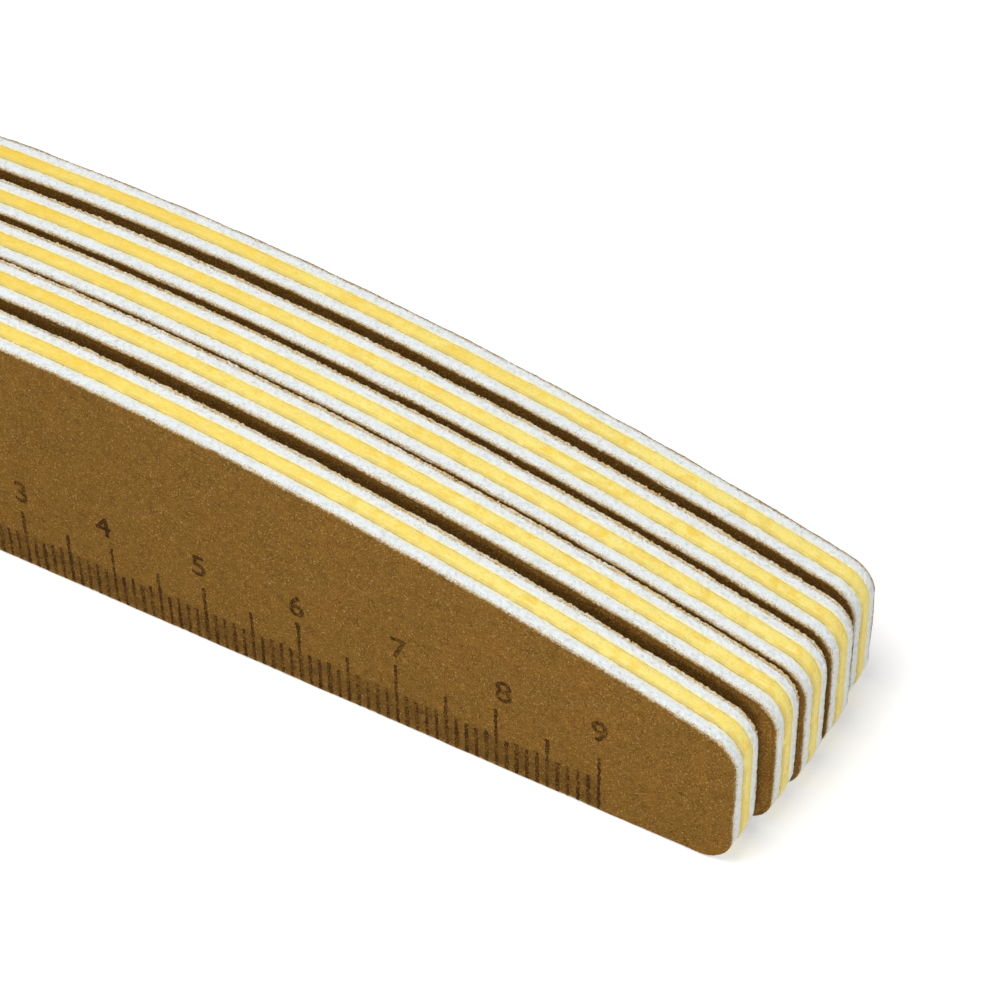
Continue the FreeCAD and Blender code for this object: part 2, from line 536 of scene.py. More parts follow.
def sheet_edge_tree():
    """A band that follows an outline across a thin sheet, rolls over and runs on along the sheet's face."""
    tree, given = geometry_tree(
        "Sheet edge",
        {
            "Inner": "Float",
            "Edge Share": "Float",
            "Roll": "Float",
            "Rim": "Float",
            "Burr": "Float",
            **CUT_INPUTS,
        },
    )
    grid, share, spot, outward = band(tree, given)
    edge = maths(tree, "MINIMUM", maths(tree, "DIVIDE", share, given["Edge Share"]), 1.0)
    face = ramp(tree, share, given["Edge Share"], 1.0)
    turn = maths(tree, "MULTIPLY", edge, math.pi / 2)
    reach = maths(tree, "MULTIPLY", given["Thickness"], given["Outward"])
    rise = maths(tree, "MULTIPLY", maths(tree, "SINE", turn), reach)
    depth = maths(tree, "ADD", given["Inner"], rise)
    place = vector_maths(tree, "ADD", spot, joined(tree, Y=depth))

    # The fray fades on the sheet's face and is deepest on the upper edge, where the burr stands
    upper = ramp(tree, axis(tree, outward, "Z"), 0.2, 0.9)
    fray = added(
        tree,
        rough(tree, spot, given["Coarse Size"], given["Seed"], given["Coarse Depth"]),
        maths(
            tree,
            "MULTIPLY",
            rough(tree, spot, given["Fine Size"], given["Seed"], given["Fine Depth"]),
            maths(tree, "MULTIPLY_ADD", upper, 1.0 - LOWER_FRAY, LOWER_FRAY),
        ),
    )
    inward = added(
        tree,
        maths(tree, "MULTIPLY", maths(tree, "SUBTRACT", 1.0, maths(tree, "COSINE", turn)), given["Roll"]),
        maths(tree, "MULTIPLY", face, given["Rim"]),
        maths(tree, "MULTIPLY", fray, maths(tree, "MULTIPLY_ADD", face, RIM_FRAY - 1.0, 1.0)),
        maths(tree, "MULTIPLY", maths(tree, "MULTIPLY", upper, given["Burr"]), -1.0),
    )
    bend(tree, given, grid, place, outward, inward, share)
    return tree


def grain_tree():
    """Grains bonded to the coat of a grit sheet."""
    tree, given = geometry_tree(
        "Grains",
        {"Coat": "Material", "Density": "Float", "Size": "Float", "Seed": "Int", "Material": "Material"},
    )
    coat = out(add_node(tree, "GeometryNodeMaterialSelection", Material=given["Coat"]))
    spots = add_node(
        tree,
        "GeometryNodeDistributePointsOnFaces",
        Mesh=given["Geometry"],
        Selection=coat,
        Density=given["Density"],
        Seed=given["Seed"],
    )
    grain = add_node(
        tree, "GeometryNodeMeshCone", Vertices=4, Radius_Top=0.0, Radius_Bottom=0.5, Depth=GRAIN_RISE
    )
    spin = random_value(tree, 0.0, math.tau, seed=1)
    turned = add_node(
        tree,
        "FunctionNodeRotateRotation",
        {"rotation_space": "LOCAL"},
        Rotation=out(spots, "Rotation"),
        Rotate_By=out(add_node(tree, "FunctionNodeAxisAngleToRotation", Axis=(0, 0, 1), Angle=spin)),
    )
    spread = random_value(tree, LEAST_GRAIN, 1.0, seed=2)
    size = maths(tree, "MULTIPLY", spread, given["Size"])
    placed = add_node(
        tree,
        "GeometryNodeInstanceOnPoints",
        Points=out(spots, "Points"),
        Instance=out(grain, "Mesh"),
        Rotation=out(turned),
        Scale=size,
    )
    finish_tree(tree, out(placed), given["Material"])
    return tree


def crumb_tree():
    """Crumbs of grit and glue that cling in clumps to the cut edge of a sheet."""
    tree, given = geometry_tree(
        "Crumbs",
        {
            "Place": "Float",
            "Spread": "Float",
            "Rise": "Float",
            "Step": "Float",
            "Size": "Float",
            "Clump": "Float",
            "Foot": "Float",
            "Low": "Vector",
            "High": "Vector",
            "Seed": "Int",
            "Material": "Material",
        },
    )
    path = add_node(tree, "GeometryNodeMeshToCurve", Mesh=given["Geometry"])
    by_length = {"mode": "LENGTH"}
    steps = add_node(tree, "GeometryNodeResampleCurve", by_length, Curve=out(path), Length=given["Step"])
    spots = add_node(tree, "GeometryNodeCurveToPoints", {"mode": "EVALUATED"}, Curve=out(steps))
    outward = outward_of(tree, out(spots, "Tangent"))

    def chance(low, high, offset):
        seed = maths(tree, "ADD", given["Seed"], float(offset))
        return random_value(tree, low, high, seed)

    here = out(tree.nodes.new("GeometryNodeInputPosition"))
    clump = noise(tree, here, given["Clump"], given["Seed"])
    high = maths(tree, "GREATER_THAN", axis(tree, here, "Z"), given["Foot"])
    upward = axis(tree, outward, "Z")
    often = maths(tree, "MULTIPLY", clump, ramp(tree, upward, 0.0, 0.8))
    kept = maths(tree, "MULTIPLY", maths(tree, "LESS_THAN", chance(0.1, 0.9, 1), often), high)
    depth = maths(tree, "ADD", given["Place"], maths(tree, "MULTIPLY", chance(-1.0, 1.0, 2), given["Spread"]))
    rise = maths(tree, "MULTIPLY", chance(-3.0, 1.0, 3), given["Rise"])
    moved = vector_maths(tree, "ADD", scaled(tree, outward, rise), joined(tree, Y=depth))
    within = kept_inside(tree, given, vector_maths(tree, "ADD", here, moved))
    shaken = add_node(tree, "GeometryNodeSetPosition", Geometry=out(spots, "Points"), Position=within)
    crumb = add_node(tree, "GeometryNodeMeshIcoSphere", Radius=0.5, Subdivisions=1)
    turn = add_node(
        tree,
        "FunctionNodeRandomValue",
        {"data_type": "FLOAT_VECTOR"},
        Min=(0, 0, 0),
        Max=(math.tau,) * 3,
        Seed=4,
    )
    lump = maths(tree, "MULTIPLY_ADD", ramp(tree, clump, 0.45, 0.7), 0.5, 0.5)
    size = maths(tree, "MULTIPLY", maths(tree, "MULTIPLY", chance(LEAST_CRUMB, 1.0, 5), lump), given["Size"])
    placed = add_node(
        tree,
        "GeometryNodeInstanceOnPoints",
        Points=out(shaken),
        Selection=kept,
        Instance=out(crumb, "Mesh"),
        Rotation=out(turn),
        Scale=size,
    )
    finish_tree(tree, out(placed), given["Material"])
    return tree


def tick_tree():
    """Ruler ticks: long on each centimetre, less long between, short on each millimetre."""
    tree, given = geometry_tree(
        "Ruler ticks",
        {
            "Count": "Int",
            "Pitch": "Float",
            "Width": "Float",
            "Ink": "Float",
            "Long": "Float",
            "Half": "Float",
            "Short": "Float",
            "Wobble Size": "Float",
            "Start": "Vector",
            "Material": "Material",
        },
    )
    step = joined(tree, X=given["Pitch"])
    line = add_node(
        tree, "GeometryNodeMeshLine", Count=given["Count"], Start_Location=given["Start"], Offset=step
    )
    index = out(tree.nodes.new("GeometryNodeInputIndex"))
    on_centimetre = maths(tree, "LESS_THAN", maths(tree, "MODULO", index, CENTIMETRE_TICKS), 0.5)
    on_half = maths(tree, "LESS_THAN", maths(tree, "MODULO", index, CENTIMETRE_TICKS / 2), 0.5)
    usual = chosen(tree, on_half, given["Short"], given["Half"])
    tall = chosen(tree, on_centimetre, usual, given["Long"])
    bar = add_node(
        tree, "GeometryNodeMeshCube", Size=(1, 1, 1), Vertices_X=3, Vertices_Y=2, Vertices_Z=TICK_POINTS
    )
    stood = add_node(tree, "GeometryNodeTransform", Geometry=out(bar, "Mesh"), Translation=(0, 0, 0.5))
    uneven = random_value(tree, *TICK_LENGTHS, seed=3)
    wide = random_value(tree, *TICK_WIDTHS, seed=4)
    width = maths(tree, "MULTIPLY", wide, given["Width"])
    scale = joined(tree, X=width, Y=given["Ink"], Z=maths(tree, "MULTIPLY", uneven, tall))
    placed = add_node(
        tree, "GeometryNodeInstanceOnPoints", Points=out(line), Instance=out(stood), Scale=scale
    )
    real = add_node(tree, "GeometryNodeRealizeInstances", Geometry=out(placed))
    here = out(tree.nodes.new("GeometryNodeInputPosition"))
    wobble = maths(tree, "SUBTRACT", noise(tree, here, given["Wobble Size"]), 0.5)
    shift = maths(tree, "MULTIPLY", wobble, maths(tree, "MULTIPLY", given["Width"], TICK_WANDER))
    aside = joined(tree, X=shift)
    ragged = add_node(tree, "GeometryNodeSetPosition", Geometry=out(real), Offset=aside)
    finish_tree(tree, out(ragged), given["Material"])
    return tree


# Materials


def material(name):
    """A new material with its tree, its surface shader and the place of each point on the piece."""
    made = bpy.data.materials.new(name)
    made.use_nodes = True
    tree = made.node_tree
    place = out(tree.nodes.new("ShaderNodeTexCoord"), "Object")
    return made, tree, tree.nodes["Principled BSDF"], place


def mixed(tree, factor, first, second):
    """A blend of two colours."""
    ends = [item if isinstance(item, bpy.types.NodeSocket) else tuple(item) for item in (first, second)]
    return out(add_node(tree, "ShaderNodeMix", {"data_type": "RGBA"}, Factor=factor, A=ends[0], B=ends[1]))


def outer_share(tree):
    """How near a point of a cut edge is to the outer side of its layer, from 0 to 1."""
    return attribute(tree, OUTER)


def paint(tree, shader, colour_socket, roughness, specular):
    """Sets a surface's colour and shine."""
    tree.links.new(colour_socket, shader.inputs["Base Color"])
    shader.inputs["Roughness"].default_value = roughness
    shader.inputs["Specular IOR Level"].default_value = specular


def relief(tree, shader, height, strength, depth):
    """Gives a surface a fine relief."""
    bump = add_node(tree, "ShaderNodeBump", Height=height, Strength=strength, Distance=depth)
    tree.links.new(out(bump), shader.inputs["Normal"])


def foam_finish(finish, bare=1.0, full=0.3):
    """White closed-cell foam with painted shade in its pores, yellow by the core, and stained beside the
    sheet where its lumps are low.
    """
    made, tree, shader, place = material("cut_foam")
    lumps = noise(tree, place, finish.foam_lumps, detail=4.0)
    cells = noise(tree, place, finish.foam_cells, seed=3.0, detail=3.0)
    # Painted shade: the pores, the low places of the foam's relief, are greyed with the pore colour
    pores = maths(tree, "MULTIPLY", ramp(tree, cells, 0.4, 0.75), ramp(tree, lumps, 0.3, 0.65))
    body = mixed(tree, pores, finish.foam, finish.foam_pore)
    ragged = maths(tree, "SUBTRACT", noise(tree, place, finish.foam_border, seed=2.0), 0.5)
    fray = maths(tree, "MULTIPLY_ADD", ragged, 0.3, outer_share(tree))
    dust = noise(tree, place, finish.foam_dust, seed=7.0)
    dusty = maths(tree, "MULTIPLY_ADD", maths(tree, "SUBTRACT", dust, 0.5), 0.6, outer_share(tree))
    rim = ramp(tree, dusty, 0.78, 0.98)
    gritty = maths(tree, "MULTIPLY", rim, ramp(tree, lumps, bare, full))
    specks = mixed(tree, ramp(tree, dust, 0.5, 0.62), finish.paper, finish.grit_light)
    body = mixed(tree, gritty, body, specks)
    yellowed = maths(tree, "MULTIPLY", maths(tree, "POWER", ramp(tree, fray, 0.42, 0.0), 2.0), 0.65)
    paint(tree, shader, mixed(tree, yellowed, body, finish.core), roughness=0.85, specular=0.2)
    relief(tree, shader, maths(tree, "SUBTRACT", lumps, pores), strength=0.7, depth=finish.foam_relief)
    return made


def rear_foam_finish(finish):
    """Foam beside a rear sheet, where the die comes out and the stain is patchy."""
    return foam_finish(finish, bare=0.7, full=0.48)


def core_finish(finish):
    """Yellow plastic, scored along its edge by the die and blotched with amber, more so to the left."""
    made, tree, shader, place = material("cut_core")
    spot = add_node(tree, "ShaderNodeSeparateXYZ", Vector=place)
    along = attribute(tree, ALONG)
    run = maths(tree, "MULTIPLY", along, STROKE_STRETCH)
    scored = joined(tree, X=run, Y=out(spot, "Y"))
    strokes = noise(tree, scored, finish.core_strokes, detail=3.0)
    speckle = noise(tree, place, finish.core_specks, detail=3.0)
    blotches = noise(tree, place, finish.core_blotches, seed=3.0, detail=5.0)
    patches = noise(tree, place, finish.core_patches, detail=2.0)
    leftward = ramp(tree, out(spot, "X"), finish.core_clear, finish.core_amber)
    deep = ramp(tree, maths(tree, "MULTIPLY_ADD", leftward, 0.5, patches), 0.5, 1.0)
    amber = maths(tree, "MULTIPLY", ramp(tree, blotches, 0.5, 0.6), 0.8)
    body = mixed(tree, maths(tree, "MAXIMUM", deep, amber), finish.core, finish.core_deep)
    scraped = maths(tree, "MULTIPLY_ADD", leftward, -0.4, 0.7)
    pale = maths(tree, "MULTIPLY", ramp(tree, strokes, 0.46, 0.66), scraped)
    body = mixed(tree, pale, body, finish.core_pale)
    dull = maths(tree, "MULTIPLY", ramp(tree, speckle, 0.5, 0.72), 0.5)
    body = mixed(tree, dull, body, finish.core_edge)
    # Darker ochre along the core's front border, broken up where the blotches are low
    border = maths(tree, "MULTIPLY_ADD", maths(tree, "SUBTRACT", speckle, 0.5), 0.4, outer_share(tree))
    front_border_ochre = maths(tree, "MULTIPLY", ramp(tree, border, 0.3, 0.1), ramp(tree, blotches, 0.25, 0.5))
    paint(tree, shader, mixed(tree, front_border_ochre, body, finish.core_edge), roughness=0.55, specular=0.25)
    relief(tree, shader, maths(tree, "ADD", strokes, speckle), strength=0.5, depth=finish.core_relief)
    return made


def grit_colour(tree, place, finish, red=0.0, fleck_start=0.58):
    """Gold-brown grit with painted shade in the hollows between grains, where its relief is low, and light
    where a grain catches the light, and its height.
    """
    grains = noise(tree, place, finish.grit_grains, detail=2.0)
    tufts = noise(tree, place, finish.grit_tufts, seed=1.0, detail=3.0)
    patches = noise(tree, place, finish.grit_patches, seed=2.0, detail=2.0)
    fleck = noise(tree, place, finish.grit_flecks, seed=4.0, detail=1.0)
    # The shift towards the red grit is painted shade for the plain sheets inside the row; the warm patches
    # are the coat's own tone
    warm = maths(tree, "MULTIPLY_ADD", ramp(tree, patches, 0.45, 0.75), 0.5, red)
    body = mixed(tree, warm, finish.grit, finish.grit_red)
    # Painted shade: the coat is darkened where its relief is low, in the hollows between grains
    painted_hollow_shade = ramp(tree, maths(tree, "ADD", grains, maths(tree, "MULTIPLY", tufts, 0.4)), 0.74, 0.46)
    body = mixed(tree, painted_hollow_shade, body, finish.grit_dark)
    return mixed(tree, ramp(tree, fleck, fleck_start, fleck_start + 0.16), body, finish.grit_light), grains


def grit_finish(finish):
    """The face of a plain grit sheet, a little redder than the ruled one: painted shade for the deeper brown
    of the faces in the gaps inside the row.
    """
    made, tree, shader, place = material("gold_grit")
    colour_socket, grains = grit_colour(tree, place, finish, red=0.7, fleck_start=0.52)
    paint(tree, shader, colour_socket, roughness=0.8, specular=0.05)
    relief(tree, shader, grains, strength=0.9, depth=finish.grit_relief)
    return made


def ruled_grit_finish(finish):
    """The face of the grit sheet that carries the ruler, with some of its ink smeared between the ticks."""
    made, tree, shader, place = material("ruled_grit")
    ruler = bpy.context.scene.emery_ruler
    low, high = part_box(f"{RULER_BOARD}_core_board")
    zero = (low[0] + high[0]) / 2 + ruler.zero
    colour_socket, grains = grit_colour(tree, place, finish)
    spot = add_node(tree, "ShaderNodeSeparateXYZ", Vector=place)
    beside = ramp(tree, out(spot, "X"), zero - ruler.smear_end, zero)
    end = zero + ruler.centimetres * CENTIMETRE
    before = ramp(tree, out(spot, "X"), end + ruler.smear_end, end)
    top = ruler.short_tick + ruler.smear_top
    under = ramp(tree, out(spot, "Z"), top, top - ruler.smear_fade)
    cloud = ramp(tree, noise(tree, place, finish.ink_clouds, seed=6.0, detail=3.0), 0.3, 0.6)
    between = maths(tree, "MULTIPLY", beside, before)
    smear = maths(tree, "MULTIPLY", between, maths(tree, "MULTIPLY", under, cloud))
    share = maths(tree, "MULTIPLY", smear, ruler.smudge)
    paint(tree, shader, mixed(tree, share, colour_socket, finish.ink), roughness=0.8, specular=0.05)
    relief(tree, shader, grains, strength=0.6, depth=finish.ruled_relief)
    return made


def grain_finish(finish):
    """Single grains that stand out of the coat."""
    made, tree, shader, place = material("grit_grain")
    tone = noise(tree, place, finish.grain_tones, detail=2.0)
    body = mixed(tree, ramp(tree, tone, 0.5, 0.8), finish.grit, finish.grit_light)
    paint(tree, shader, body, roughness=0.7, specular=0.1)
    return made


def paper_finish(finish, start=-0.35, end=0.55):
    """Cut edge and worn rim of a sheet: paper that passes into the coat between two shares of the edge."""
    made, tree, shader, place = material("cut_paper")
    coat, grains = grit_colour(tree, place, finish)
    speckle = maths(tree, "SUBTRACT", noise(tree, place, finish.paper_specks, seed=8.0, detail=3.0), 0.5)
    reach = maths(tree, "MULTIPLY_ADD", speckle, 1.8, outer_share(tree))
    clean = ramp(tree, noise(tree, place, finish.paper_patches, seed=9.0, detail=3.0), 0.45, 0.62)
    bare = mixed(tree, maths(tree, "MULTIPLY", clean, 0.6), finish.paper, finish.foam)
    body = mixed(tree, ramp(tree, reach, start, end), bare, coat)
    paint(tree, shader, body, roughness=0.8, specular=0.05)
    relief(tree, shader, grains, strength=0.6, depth=finish.paper_relief)
    return made


def burr_finish(finish):
    """Cut edge of a rear sheet, where the die comes out and more of the paper shows."""
    return paper_finish(finish, start=0.1, end=0.75)


def last_edge_finish(finish):
    """Cut edge of the last sheet of the row, dark with grit."""
    return paper_finish(finish, start=-0.45, end=0.5)


def crumb_finish(finish):
    """Crumbs of paper, glue and grit."""
    made, tree, shader, place = material("edge_crumb")
    tone = noise(tree, place, finish.crumb_tones, detail=2.0)
    body = mixed(tree, ramp(tree, tone, 0.36, 0.52), finish.paper, finish.crumb)
    body = mixed(tree, ramp(tree, tone, 0.56, 0.7), body, finish.grit_dark)
    paint(tree, shader, body, roughness=0.7, specular=0.2)
    return made


def glue_finish(finish):
    """Dried adhesive against the core, darker where it is thick."""
    made, tree, shader, place = material("core_glue")
    tone = noise(tree, place, finish.glue_tones, detail=2.0)
    body = mixed(tree, ramp(tree, tone, 0.35, 0.65), finish.glue, finish.core_deep)
    paint(tree, shader, body, roughness=0.5, specular=0.4)
    return made


def pale_glue_finish(finish):
    """Dried adhesive under the sheets, stained by grit."""
    made, tree, shader, place = material("sheet_glue")
    tone = noise(tree, place, finish.pale_glue_tones, detail=2.0)
    body = mixed(tree, ramp(tree, tone, 0.45, 0.75), finish.glue_pale, finish.crumb)
    paint(tree, shader, body, roughness=0.6, specular=0.3)
    return made


def ink_finish(finish):
    """Ruler ink, broken where it misses the hollows between grains."""
    made, tree, shader, place = material("ruler_ink")
    worn = maths(tree, "MULTIPLY", noise(tree, place, finish.ink_wear, seed=5.0), 0.5)
    missed = noise(tree, place, finish.ink_breaks, detail=2.0)
    breaks = ramp(tree, maths(tree, "ADD", missed, worn), 0.7, 0.92)
    body = mixed(tree, maths(tree, "MULTIPLY", breaks, 0.8), finish.ink, finish.grit)
    paint(tree, shader, body, roughness=0.8, specular=0.05)
    return made


FINISHES = {
    "front_foam": foam_finish,
    "rear_foam": rear_foam_finish,
    "core": core_finish,
    "grit": grit_finish,
    "ruled_grit": ruled_grit_finish,
    "grain": grain_finish,
    "front_paper": paper_finish,
    "rear_paper": burr_finish,
    "last_paper": last_edge_finish,
    "crumb": crumb_finish,
    "core_glue": glue_finish,
    "sheet_glue": pale_glue_finish,
    "ink": ink_finish,
}


def finish_of(kind):
    """The material of a kind of surface, made when it is first asked for."""
    made = bpy.data.materials.get(f"emery_{kind}")
    if made is None:
        made = FINISHES[kind](bpy.context.scene.emery_finish)
        made.name = f"emery_{kind}"
    return made


# Meshes


def arc(centre, radius, start, end, step):
    """Points on an arc in the plane of the boards, from one direction to another, its ends included."""
    pieces = max(2, math.ceil(abs(end - start) * radius / step))
    turns = [start + (end - start) * i / pieces for i in range(pieces + 1)]
    return [centre + Vector((math.cos(turn), 0, math.sin(turn))) * radius for turn in turns]


def outline(board, setback):
    """The outline of a board as a closed row of points, from the middle of its straight edge."""
    shape = bpy.context.scene.emery_shape
    low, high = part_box(f"{board}_core_board")
    middle = (low[0] + high[0]) / 2
    half = (high[0] - low[0]) / 2
    height = high[2]
    rise = height - shape.end_height
    radius = (half**2 + rise**2) / (2 * rise)
    centre = Vector((0, 0, height - radius))
    across = half - shape.top_corner
    reach = radius - shape.top_corner
    top = Vector((across, 0, centre.z + math.sqrt(reach**2 - across**2)))
    foot = Vector((half - shape.foot_corner, 0, shape.foot_corner))
    lean = math.atan2(top.z - centre.z, top.x)

    right = arc(foot, shape.foot_corner - setback, -math.pi / 2, 0, shape.arc_step)
    right += arc(top, shape.top_corner - setback, 0, lean, shape.arc_step)
    right += arc(centre, radius - setback, lean, math.pi / 2, shape.arc_step)[1:]
    left = [Vector((-point.x, 0, point.z)) for point in reversed(right[:-1])]
    start = Vector((0, 0, setback))
    return [point + Vector((middle, 0, 0)) for point in [start, *right, *left]]


def wire(name, points):
    """A closed wire through points, as an object that a node tree can work on."""
    mesh = bpy.data.meshes.new(name)
    count = len(points)
    mesh.from_pydata(points, [(i, (i + 1) % count) for i in range(count)], [])
    piece = bpy.data.objects.new(name, mesh)
    bpy.context.collection.objects.link(piece)
    return piece


def grown(source, tree, values, name):
    """The plain mesh that a node tree makes of an object, as a new object."""
    modifier = source.modifiers.new("grow", "NODES")
    modifier.node_group = tree
    for socket in tree.interface.items_tree:
        if socket.in_out == "INPUT" and socket.name in values:
            modifier[socket.identifier] = values[socket.name]
    source.update_tag()
    seen = source.evaluated_get(bpy.context.evaluated_depsgraph_get())
    mesh = bpy.data.meshes.new_from_object(seen)
    source.modifiers.remove(modifier)
    mesh.name = name
    piece = bpy.data.objects.new(name, mesh)
    bpy.context.collection.objects.link(piece)
    return piece


def drop(piece):
    """Removes an object that was only a means to make others."""
    bpy.data.objects.remove(piece)


def close_faces(piece, face_material=None, outward=0.0):
    """Closes both faces of a cut edge, keeps the edge smooth and gives the outward face its own material."""
    mesh = piece.data
    if face_material is not None:
        mesh.materials.append(face_material)
    shape = bmesh.new()
    shape.from_mesh(mesh)
    for face in shape.faces:
        face.smooth = True
    borders = [edge for edge in shape.edges if edge.is_boundary]
    for edge in borders:
        edge.smooth = False
    faces = bmesh.ops.holes_fill(shape, edges=borders, sides=0)["faces"]
    bmesh.ops.recalc_face_normals(shape, faces=shape.faces)
    for face in faces:
        face.smooth = False
        if face_material is not None and face.normal.y * outward > 0:
            face.material_index = len(mesh.materials) - 1
    shape.to_mesh(mesh)
    shape.free()


def make_heavier(mesh, weight):
    """Moves the walls of a flat letter outwards, so that its strokes gain weight and its holes stay open."""
    letter = bmesh.new()
    letter.from_mesh(mesh)
    bmesh.ops.remove_doubles(letter, verts=letter.verts, dist=DIGIT_SEAM)
    bmesh.ops.recalc_face_normals(letter, faces=letter.faces)
    moves = []
    for vert in letter.verts:
        walls = [face.normal.copy() for face in vert.link_faces if abs(face.normal.z) < WALL_RISE]
        first, last = walls[0], min(walls, key=walls[0].dot)
        moves.append((first + last) / max(1 + first.dot(last), LEAST_CORNER) * weight)
    for vert, move in zip(letter.verts, moves, strict=True):
        vert.co += move
    letter.to_mesh(mesh)
    letter.free()


def tree_of(name, make):
    """A node tree, made when it is first asked for."""
    return bpy.data.node_groups.get(name) or make()


def cut_layer(board, node, name, tree, values, setback=None, face_material=None):
    """One layer of a board with its cut edge, in its node's place, set back as its node is or as asked."""
    shape = bpy.context.scene.emery_shape
    low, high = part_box(node)
    path = wire("path", outline(board, low[2] if setback is None else setback))
    sizes = {
        "Thickness": high[1] - low[1],
        "Step": shape.edge_step,
        "Coarse Size": shape.coarse_size,
        "Drag": shape.drag,
        "Wave": shape.layer_wave,
        "Wave Size": shape.layer_wave_size,
        "Low": CAD_BOX[0],
        "High": CAD_BOX[1],
    }
    piece = grown(path, tree, {**sizes, **values}, name)
    drop(path)
    close_faces(piece, face_material, values["Outward"])
    return piece


def settle(piece, body, slot, *nodes):
    """Makes a piece ride on its board and stand for its nodes; the slot that it is given is not used."""
    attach(piece, body)
    if nodes:
        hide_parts(*nodes)


# Operators


class EmeryFoamPads(bpy.types.Operator):
    """Cuts the white foam pads of every board, which swell over the glue to their sheets"""

    bl_idname = "emery.foam_pads"
    bl_label = "Foam pads"

    def execute(self, context):
        shape = context.scene.emery_shape
        for count, board in enumerate(BOARDS):
            for side in SIDES:
                node = f"{board}_{side}_foam_pad"
                low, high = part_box(node)
                film_low, film_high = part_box(f"{board}_{side}_sheet_glue")
                values = {
                    "Front": min(low[1], film_low[1]),
                    "Thickness": max(high[1], film_high[1]) - min(low[1], film_low[1]),
                    "Rows": shape.foam_rows,
                    "Rounding": shape.foam_rounding,
                    "Coarse Depth": shape.foam_coarse,
                    "Fine Depth": shape.foam_fine,
                    "Fine Size": shape.fine_size,
                    "Roll": 0.0,
                    "Stretch": 1.0,
                    "Outer Hold": 1.0,
                    "Outward": OUTWARD[side],
                    "Seed": float(BOARD_SEEDS * count + SIDES.index(side)),
                    "Material": finish_of(f"{side}_foam"),
                }
                edge = tree_of("Cut edge", cut_edge_tree)
                pad = cut_layer(board, node, f"{board}_{side}_foam", edge, values, shape.foam_setback)
                settle(pad, board, "foam", node)
        return {"FINISHED"}


class EmeryCores(bpy.types.Operator):
    """Cuts the yellow plastic core of every board"""

    bl_idname = "emery.cores"
    bl_label = "Cores"

    def execute(self, context):
        shape = context.scene.emery_shape
        for count, board in enumerate(BOARDS):
            node = f"{board}_core_board"
            values = {
                "Front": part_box(node)[0][1],
                "Rows": shape.core_rows,
                "Rounding": shape.core_rounding,
                "Coarse Depth": shape.core_coarse,
                "Fine Depth": shape.core_fine,
                "Fine Size": shape.fine_size,
                "Roll": shape.core_roll,
                "Stretch": CORE_STRETCH,
                "Outer Hold": 0.0,
                "Outward": 1.0,
                "Seed": float(BOARD_SEEDS * count + CORE_SEED),
                "Material": finish_of("core"),
            }
            core = cut_layer(board, node, f"{board}_core", tree_of("Cut edge", cut_edge_tree), values)
            settle(core, board, "core", node)
        return {"FINISHED"}


class EmeryGritSheets(bpy.types.Operator):
    """Cuts the grit sheets of every board and bonds grains to them"""

    bl_idname = "emery.grit_sheets"
    bl_label = "Grit sheets"

    def execute(self, context):
        shape = context.scene.emery_shape
        for count, board in enumerate(BOARDS):
            for side in SIDES:
                node = f"{board}_{side}_abrasive_sheet"
                low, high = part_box(node)
                front = side == "front"
                last = (board, side) == (BOARDS[-1], "rear")
                ruled = (board, side) == (RULER_BOARD, "front")
                clean = front or last
                values = {
                    "Thickness": high[1] - low[1] - shape.grit_coat,
                    "Inner": high[1] if front else low[1],
                    "Rows": shape.sheet_rows,
                    "Edge Share": EDGE_SHARE,
                    "Roll": shape.front_roll if front else shape.rear_roll,
                    "Rim": shape.rim,
                    "Coarse Depth": shape.sheet_coarse,
                    "Coarse Size": shape.sheet_wave,
                    "Burr": 0.0 if clean else low[2] + shape.rear_burr,
                    "Fine Depth": shape.front_fray if clean else shape.rear_fray,
                    "Fine Size": shape.fray_size,
                    "Outward": OUTWARD[side],
                    "Seed": float(BOARD_SEEDS * count + SHEET_SEED + SIDES.index(side)),
                    "Material": finish_of("last_paper" if last else f"{side}_paper"),
                }
                face = finish_of("ruled_grit" if ruled else "grit")
                edge = tree_of("Sheet edge", sheet_edge_tree)
                sheet = cut_layer(board, node, f"{board}_{side}_grit_sheet", edge, values, face_material=face)
                density = shape.grain_density if ruled or last else shape.inner_grain_density
                grit = {
                    "Coat": face,
                    "Density": density / SQUARE_MM,
                    "Size": shape.grain_size,
                    "Seed": BOARD_SEEDS * count + SIDES.index(side),
                    "Material": finish_of("grain"),
                }
                grains = grown(sheet, tree_of("Grains", grain_tree), grit, f"{board}_{side}_grains")
                settle(sheet, board, "abrasive", node)
                settle(grains, board, "abrasive")
        return {"FINISHED"}


class EmeryCrumbs(bpy.types.Operator):
    """Leaves crumbs along the upper edges of the rear sheets inside the row"""

    bl_idname = "emery.crumbs"
    bl_label = "Edge crumbs"

    def execute(self, context):
        shape = context.scene.emery_shape
        for count, board in enumerate(BOARDS[:-1]):
            low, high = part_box(f"{board}_rear_abrasive_sheet")
            path = wire("path", outline(board, 0.0))
            margin = Vector((1, 1, 1)) * shape.crumb_size / 2
            values = {
                "Place": low[1],
                "Spread": (high[1] - low[1]) / 2,
                "Rise": shape.crumb_rise,
                "Low": Vector(CAD_BOX[0]) + margin,
                "High": Vector(CAD_BOX[1]) - margin,
                "Step": shape.crumb_step,
                "Size": shape.crumb_size,
                "Clump": shape.crumb_clump,
                "Foot": shape.crumb_foot,
                "Seed": BOARD_SEEDS * count,
                "Material": finish_of("crumb"),
            }
            crumbs = grown(path, tree_of("Crumbs", crumb_tree), values, f"{board}_crumbs")
            drop(path)
            settle(crumbs, board, "abrasive")
        return {"FINISHED"}


class EmeryGlueLines(bpy.types.Operator):
    """Gives the adhesive films their finish"""

    bl_idname = "emery.glue_lines"
    bl_label = "Glue lines"

    def execute(self, context):
        for name, node in frame["nodes"].items():
            for film in ("core_glue", "sheet_glue"):
                if name.endswith(film):
                    node.data.materials.clear()
                    node.data.materials.append(finish_of(film))
        return {"FINISHED"}


